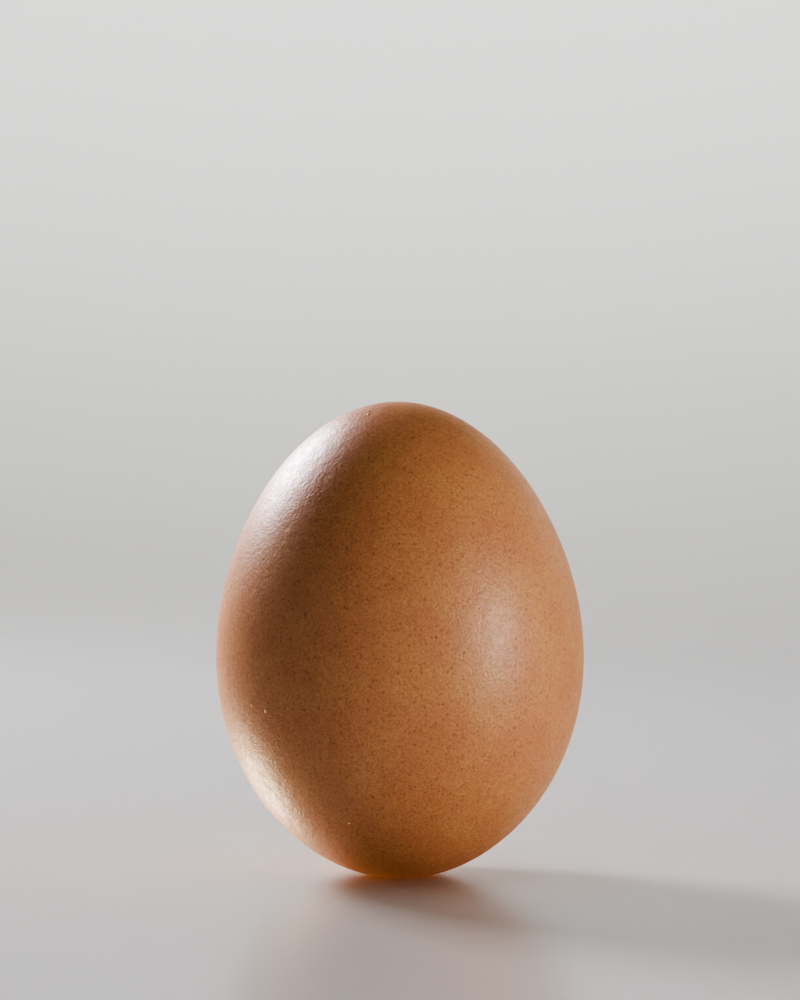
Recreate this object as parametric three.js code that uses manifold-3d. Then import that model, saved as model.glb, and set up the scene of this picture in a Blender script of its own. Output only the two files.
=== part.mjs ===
// A hen's egg standing upright on its blunt end.
// Millimetres, +Z up. The origin is the middle of the small flat spot that the egg rests on.

import * as THREE from 'three';
import { mergeVertices } from 'three/addons/utils/BufferGeometryUtils.js';
import Module from 'manifold-3d';

const wasm = await Module();
wasm.setup();

// Driving dimensions

const eggLength = 57.0; // from pole to pole, along the egg's own axis
const waistBreadth = 43.9; // across the middle of the length; the widest ring, just below it, is 44.0
const pointedTaper = 0.072; // how much slimmer the upper half is, and how much fuller the lower half
const endSlimming = 0.039; // how far both ends stay inside an ellipse
const poleFullness = 0.024; // rounds the pointed pole off again and draws the blunt pole in
const sideBow = 0.08; // how far both poles sit to the left of the waist
const leanAngle = THREE.MathUtils.degToRad(0.8); // the pointed end leans to the left, towards -X
const flatDiameter = 6.8; // of the spot at the bottom

const profileSteps = 44; // rings of faces from pole to pole
const turnSteps = 72; // faces round the egg

const shellColour = 0xb9855c; // warm tan, with a satin surface
const shellRoughness = 0.45;

// The egg curve: the radius of the ring at a height from -1, the blunt pole, to +1, the pointed one

function ringFullness(height) {
  return 1 - pointedTaper * height - endSlimming * height ** 2 + poleFullness * height ** 3;
}

function ringRadius(height) {
  return (waistBreadth / 2) * Math.sqrt(1 - height ** 2) * ringFullness(height);
}

// The round body on its own axis, with the middle of its length at the origin

function eggBody() {
  const profile = [];
  for (let step = 0; step <= profileSteps; step++) {
    const isPole = step === 0 || step === profileSteps;
    const height = Math.sin(Math.PI * (step / profileSteps - 0.5));
    profile.push(new THREE.Vector2(isPole ? 0 : ringRadius(height), (eggLength / 2) * height));
  }
  const body = new THREE.LatheGeometry(profile, turnSteps);
  body.rotateX(Math.PI / 2);
  bowRings(body);
  return body;
}

// A grown egg isn't quite straight: its rings drift sideways towards the poles

function bowRings(body) {
  const place = body.attributes.position;
  for (let index = 0; index < place.count; index++) {
    const height = place.getZ(index) / (eggLength / 2);
    place.setX(index, place.getX(index) - sideBow * height ** 2);
  }
}

// Leaning and set down: the blunt pole is a cap of one radius, and the egg's lowest point
// is straight below that cap's centre, a flat spot's depth under the ground

function standOnFlat(body) {
  const capRadius = (waistBreadth / 2 * ringFullness(-1)) ** 2 / (eggLength / 2);
  const capCentre = eggLength / 2 - capRadius;
  const flatDepth = capRadius - Math.sqrt(capRadius ** 2 - (flatDiameter / 2) ** 2);
  const lowestX = capCentre * Math.sin(leanAngle) - sideBow;
  const lowestZ = -capCentre * Math.cos(leanAngle) - capRadius;
  body.rotateY(-leanAngle);
  body.translate(-lowestX, 0, -lowestZ - flatDepth);
}

// Closed solids for cutting, and back to a geometry

function toSolid(geometry) {
  const bare = geometry.clone();
  bare.deleteAttribute('normal');
  bare.deleteAttribute('uv');
  const merged = mergeVertices(bare);
  return new wasm.Manifold(new wasm.Mesh({
    numProp: 3,
    vertProperties: new Float32Array(merged.attributes.position.array),
    triVerts: new Uint32Array(wholeTriangles(merged.index.array)),
  }));
}

// At the poles half of the lathe's triangles have shrunk to a line, and they are left out

function wholeTriangles(corners) {
  const kept = [];
  for (let first = 0; first < corners.length; first += 3) {
    const [a, b, c] = corners.slice(first, first + 3);
    if (a !== b && b !== c && c !== a) kept.push(a, b, c);
  }
  return kept;
}

function toGeometry(solid) {
  const mesh = solid.getMesh();
  const geometry = new THREE.BufferGeometry();
  geometry.setAttribute('position', new THREE.BufferAttribute(new Float32Array(mesh.vertProperties), 3));
  geometry.setIndex(new THREE.BufferAttribute(new Uint32Array(mesh.triVerts), 1));
  geometry.computeVertexNormals();
  return geometry;
}

// Everything below the ground

function groundBlock() {
  const block = new THREE.BoxGeometry(eggLength, eggLength, eggLength);
  block.translate(0, 0, -eggLength / 2);
  return block;
}

// The egg

function makeEgg() {
  const body = eggBody();
  standOnFlat(body);
  const stood = toSolid(body).subtract(toSolid(groundBlock()));
  const shell = new THREE.MeshStandardMaterial({
    color: shellColour,
    roughness: shellRoughness,
    metalness: 0,
  });
  const egg = new THREE.Mesh(toGeometry(stood), shell);
  egg.name = 'egg';
  return egg;
}

const chickenEgg = new THREE.Group();
chickenEgg.add(makeEgg());

export default chickenEgg;
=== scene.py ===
"""A brown hen's egg standing on its blunt end: one satin shell, pebbled and finely freckled."""

import math
from typing import NamedTuple

import bmesh
import bpy
import numpy as np
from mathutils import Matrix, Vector, noise


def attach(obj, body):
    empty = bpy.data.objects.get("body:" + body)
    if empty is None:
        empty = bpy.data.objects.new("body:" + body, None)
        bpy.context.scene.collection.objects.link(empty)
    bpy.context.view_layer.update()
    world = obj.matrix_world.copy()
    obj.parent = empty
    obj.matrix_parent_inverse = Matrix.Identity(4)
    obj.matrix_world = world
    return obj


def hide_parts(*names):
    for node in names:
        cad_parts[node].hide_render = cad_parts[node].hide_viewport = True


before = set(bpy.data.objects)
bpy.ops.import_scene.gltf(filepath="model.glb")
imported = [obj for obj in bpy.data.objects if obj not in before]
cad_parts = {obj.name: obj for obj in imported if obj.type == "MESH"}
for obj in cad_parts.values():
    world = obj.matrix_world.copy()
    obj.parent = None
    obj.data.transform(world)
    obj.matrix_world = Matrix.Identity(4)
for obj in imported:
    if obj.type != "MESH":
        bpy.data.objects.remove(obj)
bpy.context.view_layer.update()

MM = 0.001

# The egg's sizes, those of its solid in the frame

EGG_LENGTH = 57.0 * MM  # from pole to pole, along the egg's own axis
WAIST_BREADTH = 43.9 * MM  # across the middle of the length
POINTED_TAPER = 0.072  # how much slimmer the upper half is, and how much fuller the lower half
END_SLIMMING = 0.039  # how far both ends stay inside an ellipse
POLE_FULLNESS = 0.024  # rounds the pointed pole off again and draws the blunt pole in
SIDE_BOW = 0.08 * MM  # how far both poles sit to the left of the waist
LEAN_ANGLE = math.radians(0.8)  # the pointed end leans to the left, towards -X
FLAT_DIAMETER = 6.8 * MM  # of the spot at the bottom
FLAT_EDGE = 0.05 * MM  # how softly that spot's edge is rounded

# The shell's relief: each layer's bump width and height, and the seed of its pattern

SWELLS = (7.0 * MM, 0.018 * MM, Vector((3.1, 7.7, 1.9)))
PEBBLES = (0.80 * MM, 0.017 * MM, Vector((21.3, 5.2, 8.8)))
FINEST_RELIEF = 0.044 * MM  # height of what is too fine for the mesh and left to the material
PIMPLE_SHARE = 0.35  # how much of that height a pimple adds

# Grains of calcium on the shell, as directions from the egg's middle, with their radius

GRAIN_HEIGHT = 0.07 * MM
GRAINS = [
    ((-0.160, -0.292, 0.943), 0.22 * MM),
    ((-0.692, -0.676, -0.252), 0.21 * MM),
    ((-0.769, -0.596, -0.231), 0.14 * MM),
    ((-0.268, -0.651, -0.710), 0.17 * MM),
]

# The mesh

CUBE_STEPS = 120  # faces along each edge of the cube that is blown up into the egg
GRAIN_CUTS = 3  # cuts across each face round a grain
GRAIN_SURROUND = 1.5  # how many faces beyond a grain's rim are cut too
CHART_MARGIN = 0.012  # free edge round each patch on the texture map, as a share of the patch

# The shell's tones as they show on screen, from 0 to 255, and its satin

TAN = (209, 152, 105)
WARM_TAN = (206, 145, 102)
CLOUD_BROWN = (180, 108, 69)
HAZE_BROWN = (164, 94, 58)
CALCIUM_WHITE = (240, 220, 190)
SATIN_ROUGHNESS = (0.42, 0.52)  # least and most


class DotLayer(NamedTuple):
    """One layer of round dots in the shell's colour. Its lengths are in millimetres."""
    seed: tuple
    spacing: float
    radius: float
    share: float  # how many of the pattern's cells have a dot
    strength: float
    tone: tuple


DOT_LAYERS = [
    DotLayer(seed=(15, 0, 60), spacing=0.30, radius=0.15, share=0.8, strength=0.28, tone=(150, 81, 45)),
    DotLayer(seed=(0, 30, 50), spacing=0.60, radius=0.25, share=0.5, strength=0.30, tone=(134, 67, 35)),
    DotLayer(seed=(0, 0, 80), spacing=1.5, radius=0.28, share=0.4, strength=0.33, tone=(114, 53, 29)),
]

# The stage

FLOOR_TONE = (228, 227, 225)
FLOOR_ROUGHNESS = 0.27


class Lamp(NamedTuple):
    """A soft box that faces the egg. Azimuth 0 is the front and 90 the right."""
    name: str
    azimuth: float  # degrees, as the elevation
    elevation: float
    distance: float  # metres, as the width and the height
    width: float
    height: float
    power: float  # watts
    colour: tuple
    spread: float = 180  # degrees


# The lamps below the floor stand in for light that is thrown up from it

LAMPS_ON_EGG = [
    Lamp("key", 61, 7, 0.60, 0.155, 0.225, 1.95, (0.95, 0.97, 0.96)),
    Lamp("key_below", 61, -18, 0.60, 0.155, 0.225, 0.24, (0.95, 0.97, 0.96)),
    Lamp("edge", 219, 31, 0.80, 0.26, 0.22, 8.8, (0.98, 0.92, 1.0)),
    Lamp("edge_below", 221, -27, 0.80, 0.26, 0.22, 3.8, (1.0, 0.80, 0.56)),
]
LAMPS_ON_FLOOR = [
    Lamp("top", 0, 78, 1.00, 0.90, 0.90, 1.6, (0.97, 0.98, 1.0)),
    Lamp("back", 219, 31, 0.80, 0.26, 0.22, 1.3, (0.98, 0.95, 1.0), spread=110),
]
WALL_LAMPS = [  # each one's name, azimuth in degrees and power in watts
    ("wall_behind", 180, 3.6),
    ("wall_right", 90, 1.5),
    ("wall_left", 270, 1.5),
    ("wall_front", 0, 0.6),
]

CAMERA_PLACE = (-0.04 * MM, -332.9 * MM, 44.86 * MM)
LENS = 100  # millimetres, as the film
FILM_SIZE = 36  # along the picture's longer side

# The sockets for colours on Blender's mix node, which has one set for each kind of value

MIX_UNDER = 6
MIX_OVER = 7
MIX_RESULT = 2


# Shape

def ring_fullness(height):
    """How full the ring at that height is, from -1 at the blunt pole to +1 at the pointed one."""
    return 1 - POINTED_TAPER * height - END_SLIMMING * height**2 + POLE_FULLNESS * height**3


def egg_points(directions):
    """The smooth egg's points for unit directions, standing in the frame, before its flat spot."""
    height = directions[:, 2]
    radius = WAIST_BREADTH / 2 * ring_fullness(height)
    x = directions[:, 0] * radius - SIDE_BOW * height**2
    y = directions[:, 1] * radius
    z = EGG_LENGTH / 2 * height
    cap_radius = (WAIST_BREADTH / 2 * ring_fullness(-1)) ** 2 / (EGG_LENGTH / 2)
    cap_centre = EGG_LENGTH / 2 - cap_radius
    flat_depth = cap_radius - math.sqrt(cap_radius**2 - (FLAT_DIAMETER / 2) ** 2)
    lowest_x = cap_centre * math.sin(LEAN_ANGLE) - SIDE_BOW
    lowest_z = -cap_centre * math.cos(LEAN_ANGLE) - cap_radius
    leaning_x = x * math.cos(LEAN_ANGLE) - z * math.sin(LEAN_ANGLE)
    leaning_z = x * math.sin(LEAN_ANGLE) + z * math.cos(LEAN_ANGLE)
    return np.stack([leaning_x - lowest_x, y, leaning_z - lowest_z - flat_depth], axis=1)


def gridded_cube():
    """A cube of six gridded patches, from -1 to 1, each with its own place on the texture map."""
    sides = [  # each side's directions outward, across and up
        ((1, 0, 0), (0, 1, 0), (0, 0, 1)),
        ((0, 1, 0), (-1, 0, 0), (0, 0, 1)),
        ((-1, 0, 0), (0, -1, 0), (0, 0, 1)),
        ((0, -1, 0), (1, 0, 0), (0, 0, 1)),
        ((0, 0, 1), (1, 0, 0), (0, 1, 0)),
        ((0, 0, -1), (1, 0, 0), (0, -1, 0)),
    ]
    cube = bmesh.new()
    chart = cube.loops.layers.uv.new("OFBake")
    corners = {}

    def corner(side, column, row):
        steps = (CUBE_STEPS, 2 * column - CUBE_STEPS, 2 * row - CUBE_STEPS)
        place = tuple(sum(step * part[axis] for step, part in zip(steps, side)) for axis in range(3))
        if place not in corners:
            corners[place] = cube.verts.new([part / CUBE_STEPS for part in place])
        return corners[place]

    for number, side in enumerate(sides):
        for column in range(CUBE_STEPS):
            for row in range(CUBE_STEPS):
                steps = [(column, row), (column + 1, row), (column + 1, row + 1), (column, row + 1)]
                face = cube.faces.new([corner(side, *step) for step in steps])
                for loop, step in zip(face.loops, steps):
                    loop[chart].uv = chart_place(number, *step)
    return cube


def chart_place(number, column, row):
    """Where a patch's corner lies on the texture map, which holds three patches by two."""
    across = CHART_MARGIN + (1 - 2 * CHART_MARGIN) * column / CUBE_STEPS
    up = CHART_MARGIN + (1 - 2 * CHART_MARGIN) * row / CUBE_STEPS
    return (number % 3 + across) / 3, (number // 3 + up) / 2


def to_directions(places):
    """Unit directions for points on the cube, spread so that its faces come out nearly equal."""
    spread = np.tan(places * math.pi / 4)
    return spread / np.linalg.norm(spread, axis=1)[:, None]


def refine_round_grains(cube):
    """Cuts the faces round each grain more finely, so that the grain has a round form."""
    faces = list(cube.faces)
    middles = to_directions(np.array([face.calc_center_median() for face in faces]))
    face_width = math.pi / 2 / CUBE_STEPS
    near = set()
    for direction, radius in GRAINS:
        reach = radius / (WAIST_BREADTH / 2) + GRAIN_SURROUND * face_width
        distance = np.linalg.norm(middles - Vector(direction).normalized(), axis=1)
        near.update(faces[index] for index in np.flatnonzero(distance < reach))
    edges = list({edge for face in near for edge in face.edges})
    bmesh.ops.subdivide_edges(cube, edges=edges, cuts=GRAIN_CUTS, use_grid_fill=True)


def relief(points, layer):
    """One layer of the shell's relief: heights for points on the egg."""
    width, height, seed = layer
    return np.array([height * noise.noise(Vector(point) / width + seed) for point in points])


def grain_cover(directions):
    """How much of a grain covers each point, from 0 to 1 at a grain's top."""
    cover = np.zeros(len(directions))
    for direction, radius in GRAINS:
        centre = np.array(Vector(direction).normalized())
        distance = np.linalg.norm(directions - centre, axis=1) * WAIST_BREADTH / 2
        cover = np.maximum(cover, np.clip(1 - (distance / radius) ** 2, 0, 1))
    return cover


def flatten_base(points):
    """Presses what hangs below the ground up into the flat spot, with a soft edge."""
    height = points[:, 2]
    points[:, 2] = (height + np.sqrt(height**2 + FLAT_EDGE**2)) / 2
    points[:, 2] -= points[:, 2].min()


def read_vectors(items, name):
    """A mesh's vectors as rows of three numbers."""
    flat = np.empty(len(items) * 3)
    items.foreach_get(name, flat)
    return flat.reshape(-1, 3)


def make_egg():
    """The shell as one mesh, with its relief and grains in its shape."""
    cube = gridded_cube()
    refine_round_grains(cube)
    mesh = bpy.data.meshes.new("egg_shell")
    cube.to_mesh(mesh)
    cube.free()
    mesh.polygons.foreach_set("use_smooth", [True] * len(mesh.polygons))

    directions = to_directions(read_vectors(mesh.vertices, "co"))
    points = egg_points(directions)
    mesh.vertices.foreach_set("co", points.ravel())
    mesh.update()
    normals = read_vectors(mesh.vertex_normals, "vector")
    heights = sum(relief(points, layer) for layer in (SWELLS, PEBBLES))
    cover = grain_cover(directions)
    heights += GRAIN_HEIGHT * np.sqrt(cover)
    points += normals * heights[:, None]
    flatten_base(points)
    mesh.vertices.foreach_set("co", points.ravel())
    mesh.attributes.new("grain", "FLOAT", "POINT").data.foreach_set("value", cover)
    mesh.update()

    egg = bpy.data.objects.new("egg_shell", mesh)
    bpy.context.collection.objects.link(egg)
    return egg


# Materials

def linear(tone):
    """A tone given as it shows on screen, from 0 to 255, in the renderer's linear values."""
    shares = [part / 255 for part in tone]
    return [share / 12.92 if share <= 0.04045 else ((share + 0.055) / 1.055) ** 2.4 for share in shares] + [1]


class NodeTree:
    """A material's nodes. Each call adds one node or a few, and gives the last one's output."""

    def __init__(self, material):
        material.use_nodes = True
        self.tree = material.node_tree
        self.tree.nodes.clear()

    def add(self, kind, inputs, output=0, **settings):
        node = self.tree.nodes.new(kind)
        for name, value in settings.items():
            setattr(node, name, value)
        for name, value in inputs.items():
            if isinstance(value, bpy.types.NodeSocket):
                self.tree.links.new(value, node.inputs[name])
            else:
                node.inputs[name].default_value = value
        return node.outputs[output] if node.outputs else None

    def noise(self, place, width, detail=2.0, roughness=0.5):
        """Cloudy noise from 0 to 1, with patches of that width in millimetres."""
        inputs = {"Vector": place, "Scale": 1 / width, "Detail": detail, "Roughness": roughness}
        return self.add("ShaderNodeTexNoise", inputs)

    def ramp(self, value, start, end, low=0.0, high=1.0):
        """The value's stretch from start to end, eased and spread from low to high."""
        inputs = {"Value": value, "From Min": start, "From Max": end, "To Min": low, "To Max": high}
        return self.add("ShaderNodeMapRange", inputs, interpolation_type="SMOOTHSTEP")

    def math(self, operation, first, second):
        return self.add("ShaderNodeMath", {0: first, 1: second}, operation=operation)

    def mix(self, amount, under, over):
        """Two colours mixed: under where amount is 0, over where it is 1."""
        inputs = {"Factor": amount, MIX_UNDER: under, MIX_OVER: over}
        return self.add("ShaderNodeMix", inputs, output=MIX_RESULT, data_type="RGBA")

    def shift(self, place, x, y, z):
        """The same place in another stretch of a pattern."""
        return self.add("ShaderNodeVectorMath", {0: place, 1: (x, y, z)}, operation="ADD")

    def dots(self, place, spacing, radius, share):
        """Round dots from 0 to 1 at their middles, in that share of the cells, with one dot to a cell."""
        cells = self.tree.nodes.new("ShaderNodeTexVoronoi")
        cells.inputs["Scale"].default_value = 1 / spacing
        self.tree.links.new(place, cells.inputs["Vector"])
        near = self.ramp(cells.outputs["Distance"], radius / spacing, 0.3 * radius / spacing)
        pick = self.add("ShaderNodeSeparateColor", {"Color": cells.outputs["Color"]})
        chosen = self.ramp(pick, 1 - share, 1 - 0.75 * share)
        return self.math("MULTIPLY", near, chosen)


def shell_ground(nodes, place):
    """The tan ground, with wide faint patches, small clouds and a fine haze."""
    patches = nodes.ramp(nodes.noise(place, width=6.0, detail=3.0), 0.38, 0.62)
    ground = nodes.mix(patches, linear(TAN), linear(WARM_TAN))
    clouds = nodes.noise(nodes.shift(place, 40, 0, 0), width=1.6)
    ground = nodes.mix(nodes.ramp(clouds, 0.35, 0.70, high=0.08), ground, linear(CLOUD_BROWN))
    haze = nodes.noise(nodes.shift(place, 0, 60, 0), width=0.28, roughness=0.6)
    return nodes.mix(nodes.ramp(haze, 0.35, 0.70, high=0.35), ground, linear(HAZE_BROWN))


def shell_colour(nodes, place):
    """The ground under its layers of dots, and pale where a grain lies."""
    colour = shell_ground(nodes, place)
    for layer in DOT_LAYERS:
        dots = nodes.dots(nodes.shift(place, *layer.seed), layer.spacing, layer.radius, layer.share)
        colour = nodes.mix(nodes.math("MULTIPLY", dots, layer.strength), colour, linear(layer.tone))
    grain = nodes.add("ShaderNodeAttribute", {}, output="Fac", attribute_name="grain")
    return nodes.mix(nodes.ramp(grain, 0.1, 0.6, high=0.7), colour, linear(CALCIUM_WHITE))


def shell_roughness(nodes, place):
    """Satin that is a little duller in some spots than in others."""
    spots = nodes.noise(nodes.shift(place, 5, 90, 5), width=0.9, detail=3.0)
    return nodes.ramp(spots, 0.3, 0.7, *SATIN_ROUGHNESS)


def finest_relief(nodes, place):
    """Fine pebbles and scattered pimples, as a bump."""
    pebbles = nodes.noise(nodes.shift(place, 70, 0, 30), width=0.34, detail=1.5)
    pimples = nodes.dots(nodes.shift(place, 35, 10, 20), spacing=0.90, radius=0.13, share=0.6)
    height = nodes.math("ADD", pebbles, nodes.math("MULTIPLY", pimples, PIMPLE_SHARE))
    return nodes.add("ShaderNodeBump", {"Height": height, "Strength": 1.0, "Distance": FINEST_RELIEF})


def shell_material():
    """Satin shell: tan ground, dense fine flecks, darker freckles, pale grains, pebbly relief."""
    material = bpy.data.materials.new("eggshell")
    nodes = NodeTree(material)
    metres = nodes.add("ShaderNodeTexCoord", {}, output="Object")
    place = nodes.add("ShaderNodeVectorMath", {0: metres, "Scale": 1 / MM}, operation="SCALE")
    bump = finest_relief(nodes, place)
    shell = nodes.add("ShaderNodeBsdfPrincipled", {
        "Base Color": shell_colour(nodes, place),
        "Roughness": shell_roughness(nodes, place),
        "IOR": 1.5,
        "Normal": bump,
        "Subsurface Weight": 0.15,
        "Subsurface Radius": (1.0, 0.38, 0.18),
        "Subsurface Scale": 1.2 * MM,
        "Coat Weight": 0.06,
        "Coat Roughness": 0.25,
        "Coat Normal": bump,
    })
    nodes.add("ShaderNodeOutputMaterial", {"Surface": shell})
    return material


def floor_material():
    """Plain pale satin floor."""
    material = bpy.data.materials.new("pale_floor")
    nodes = NodeTree(material)
    look = {"Base Color": linear(FLOOR_TONE), "Roughness": FLOOR_ROUGHNESS}
    satin = nodes.add("ShaderNodeBsdfPrincipled", look)
    nodes.add("ShaderNodeOutputMaterial", {"Surface": satin})
    return material


# Stage

def make_floor():
    """A round floor that rises ever more steeply into a wall all round, so that no edge shows."""
    floor_radius = 0.4
    rise_width = 1.2
    wall_top = 1.6
    turn_steps = 96
    rise_steps = 24
    weld_distance = 0.0001
    profile = [(0.0, 0.0), (floor_radius / 2, 0.0), (floor_radius, 0.0)]
    for step in range(1, rise_steps + 1):
        part = step / rise_steps
        profile.append((floor_radius + rise_width * part, wall_top * part**3))
    sweep = bmesh.new()
    line = [sweep.verts.new((radius, 0, height)) for radius, height in profile]
    line += [sweep.edges.new(pair) for pair in zip(line, line[1:])]
    bmesh.ops.spin(sweep, geom=line, axis=(0, 0, 1), cent=(0, 0, 0), angle=2 * math.pi, steps=turn_steps)
    bmesh.ops.remove_doubles(sweep, verts=sweep.verts, dist=weld_distance)
    mesh = bpy.data.meshes.new("floor")
    sweep.to_mesh(mesh)
    sweep.free()
    mesh.polygons.foreach_set("use_smooth", [True] * len(mesh.polygons))
    mesh.materials.append(floor_material())
    floor = bpy.data.objects.new("floor", mesh)
    bpy.context.collection.objects.link(floor)
    return floor


def outward(azimuth, elevation=0):
    """The unit direction away from the egg at those angles, which are in degrees."""
    turn = math.radians(azimuth)
    rise = math.radians(elevation)
    return Vector((math.sin(turn) * math.cos(rise), -math.cos(turn) * math.cos(rise), math.sin(rise)))


def make_light(name, place, target, width, height, power, colour, spread):
    """A rectangular light that faces the target. The camera doesn't see the light itself."""
    lamp = bpy.data.lights.new(name, "AREA")
    lamp.shape = "RECTANGLE"
    lamp.size = width
    lamp.size_y = height
    lamp.energy = power
    lamp.color = colour
    lamp.spread = math.radians(spread)
    light = bpy.data.objects.new(name, lamp)
    bpy.context.collection.objects.link(light)
    light.location = place
    light.rotation_euler = (target - place).to_track_quat("-Z", "Y").to_euler()
    light.visible_camera = False
    return light


def make_lamps(lamps, lit, in_the_way):
    """Lamps round the egg that light one collection alone, with another as all that can block them."""
    middle = Vector((0, 0, EGG_LENGTH / 2))
    for name, azimuth, elevation, distance, *light_settings in lamps:
        place = middle + distance * outward(azimuth, elevation)
        light = make_light(name, place, middle, *light_settings)
        light.light_linking.receiver_collection = lit
        light.light_linking.blocker_collection = in_the_way


def make_wall_lamp(name, azimuth, power):
    """A wide lamp over the egg that lights the wall on that side, and hardly the egg."""
    place = 0.55 * outward(azimuth) + Vector((0, 0, 1.35))
    target = 1.1 * outward(azimuth) + Vector((0, 0, 0.25))
    make_light(name, place, target, width=1.6, height=0.4, power=power, colour=(1, 1, 1), spread=64)


def collection_of(thing):
    """A collection that holds one thing alone, for the lamps to name."""
    alone = bpy.data.collections.new(thing.name + "_alone")
    alone.objects.link(thing)
    return alone


def make_world():
    """A faint white sky all round."""
    world = bpy.data.worlds.new("studio")
    world.use_nodes = True
    sky = world.node_tree.nodes["Background"]
    sky.inputs["Color"].default_value = (1.0, 0.99, 0.97, 1)
    sky.inputs["Strength"].default_value = 0.05
    bpy.context.scene.world = world


def make_camera():
    """Level with the egg's upper part and close, as in the photograph."""
    lens = bpy.data.cameras.new("camera")
    lens.lens = LENS
    lens.sensor_width = FILM_SIZE
    camera = bpy.data.objects.new("camera", lens)
    bpy.context.collection.objects.link(camera)
    camera.location = CAMERA_PLACE
    camera.rotation_euler = (math.pi / 2, 0, 0)
    bpy.context.scene.camera = camera


bpy.context.scene.view_settings.view_transform = "AgX"
bpy.context.scene.view_settings.look = "AgX - Very High Contrast"
bpy.context.scene.view_settings.exposure = 0.0

egg = make_egg()
egg.data.materials.append(shell_material())
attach(egg, "root")
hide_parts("egg")

make_camera()
make_world()
floor = make_floor()
egg_alone = collection_of(egg)
make_lamps(LAMPS_ON_EGG, lit=egg_alone, in_the_way=egg_alone)
make_lamps(LAMPS_ON_FLOOR, lit=collection_of(floor), in_the_way=egg_alone)
for wall_lamp in WALL_LAMPS:
    make_wall_lamp(*wall_lamp)
